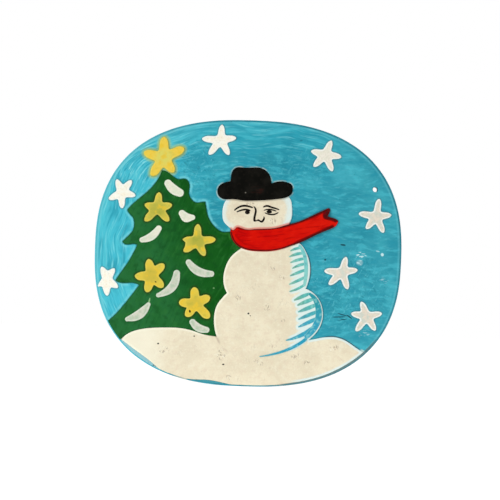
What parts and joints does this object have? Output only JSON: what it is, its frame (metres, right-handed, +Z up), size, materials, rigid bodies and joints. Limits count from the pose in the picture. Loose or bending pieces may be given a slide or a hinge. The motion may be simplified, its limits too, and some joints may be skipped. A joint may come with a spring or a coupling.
{
  "type": "painted wooden plaque",
  "caption": "Flat rounded-oblong wooden hanging plaque with a hand-painted winter scene: snowman in hat and scarf, decorated pine, stars, and a small hanging hole.",
  "frame": {"origin": "centre of the flat back face, where the plaque lies against a wall", "axes": "+Z up, -Y out of the painted front, +Y into the wall, +X to the right as the front is seen"},
  "size_m": [0.18, 0.0074, 0.1562],
  "materials": {
    "bare_wood": "sanded",
    "sky_paint": "satin",
    "green_paint": "satin",
    "cream_paint": "satin",
    "black_paint": "satin",
    "red_paint": "satin",
    "white_paint": "satin",
    "yellow_paint": "satin",
    "shade_paint": "satin",
    "line_paint": "satin",
    "maroon_paint": "satin"
  },
  "bodies": {
    "root": {"board": "bare_wood", "sky_coat": "sky_paint", "pine_tree": "green_paint", "snow_bank": "cream_paint", "snowman_body": "cream_paint", "snowman_head": "cream_paint", "hat": "black_paint", "scarf": "red_paint", "scarf_top_line": "maroon_paint", "scarf_bottom_line": "maroon_paint", "scarf_tail_shadow": "maroon_paint", "tree_top_star": "yellow_paint", "tree_star_1": "yellow_paint", "tree_star_2": "yellow_paint", "tree_star_3": "yellow_paint", "tree_star_4": "yellow_paint", "sky_star_1": "white_paint", "sky_star_2": "white_paint", "sky_star_3": "white_paint", "sky_star_4": "white_paint", "sky_star_5": "white_paint", "sky_star_6": "white_paint", "sky_star_7": "white_paint", "garland_1": "white_paint", "garland_2": "white_paint", "garland_3": "white_paint", "garland_4": "white_paint", "garland_5": "white_paint", "garland_6": "white_paint", "garland_7": "white_paint", "left_brow": "line_paint", "right_brow": "line_paint", "left_eyelid": "line_paint", "right_eyelid": "line_paint", "right_lower_lid": "line_paint", "left_pupil": "line_paint", "right_pupil": "line_paint", "nose_line": "line_paint", "upper_shade_band": "shade_paint", "lower_shade_band": "shade_paint", "base_shade_stroke": "shade_paint", "upper_shade_stroke_1": "shade_paint", "upper_shade_stroke_2": "shade_paint", "upper_shade_stroke_3": "shade_paint", "upper_shade_stroke_4": "shade_paint", "upper_shade_stroke_5": "shade_paint", "upper_shade_stroke_6": "shade_paint", "upper_shade_stroke_7": "shade_paint", "lower_shade_stroke_1": "shade_paint", "lower_shade_stroke_2": "shade_paint", "lower_shade_stroke_3": "shade_paint", "lower_shade_stroke_4": "shade_paint", "lower_shade_stroke_5": "shade_paint", "lower_shade_stroke_6": "shade_paint"}
  },
  "joints": []
}
